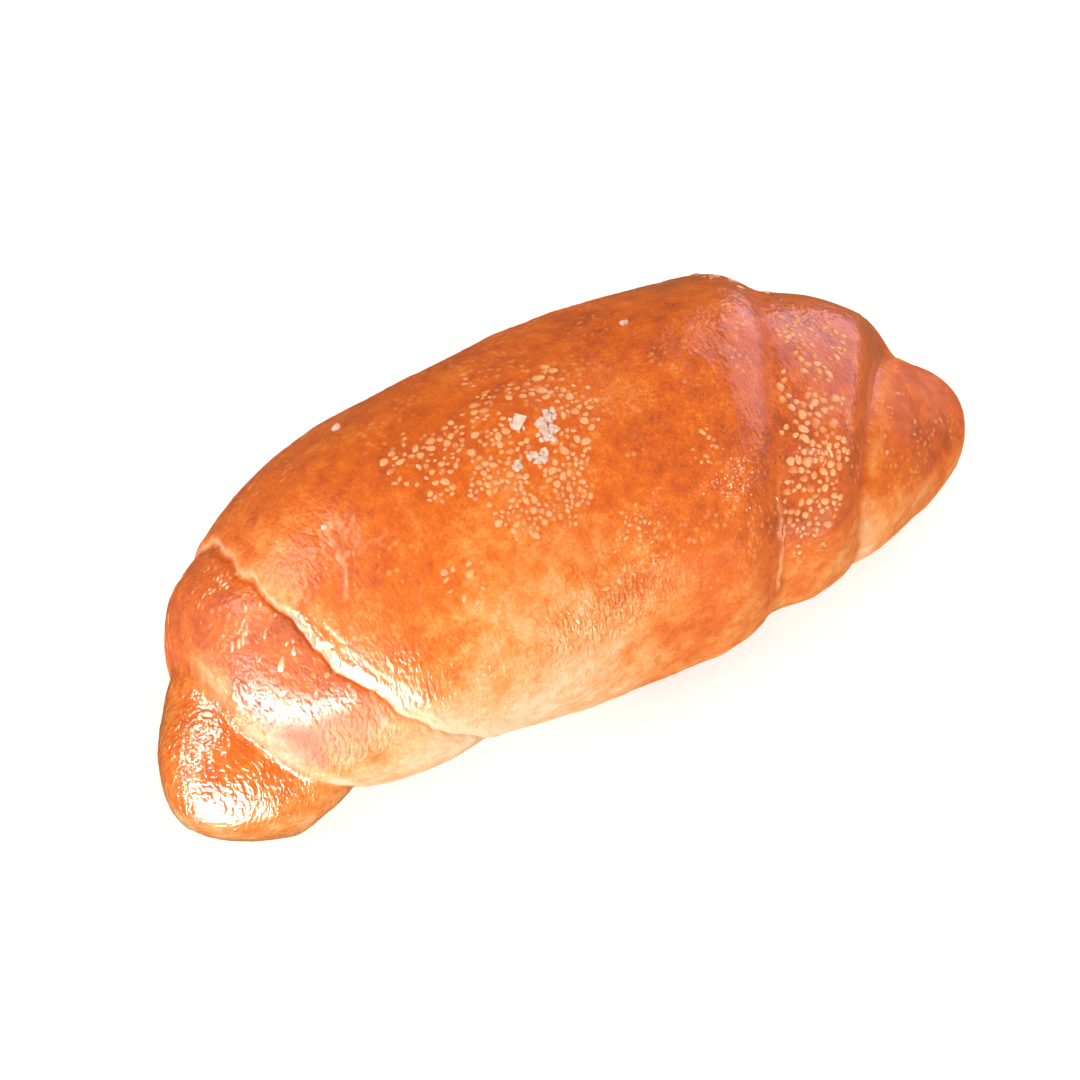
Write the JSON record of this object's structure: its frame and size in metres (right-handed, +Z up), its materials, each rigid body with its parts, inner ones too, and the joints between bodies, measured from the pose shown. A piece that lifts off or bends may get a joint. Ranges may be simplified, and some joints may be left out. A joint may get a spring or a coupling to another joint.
{
  "type": "bread roll",
  "caption": "Baked bread roll: a dough sheet wound into a short bent spindle with stepped wraps, a rounded lobe and a pointed tip, lying on a flat base; food to eat.",
  "frame": {"origin": "centre of the roll's outline on the floor, at the base", "axes": "+X along the roll towards its pointed tip, -Y towards the front, +Z up"},
  "size_m": [0.1334, 0.0538, 0.0523],
  "materials": {
    "crust": "glazed golden-brown bread crust"
  },
  "bodies": {
    "root": {"roll": "crust"}
  },
  "joints": []
}
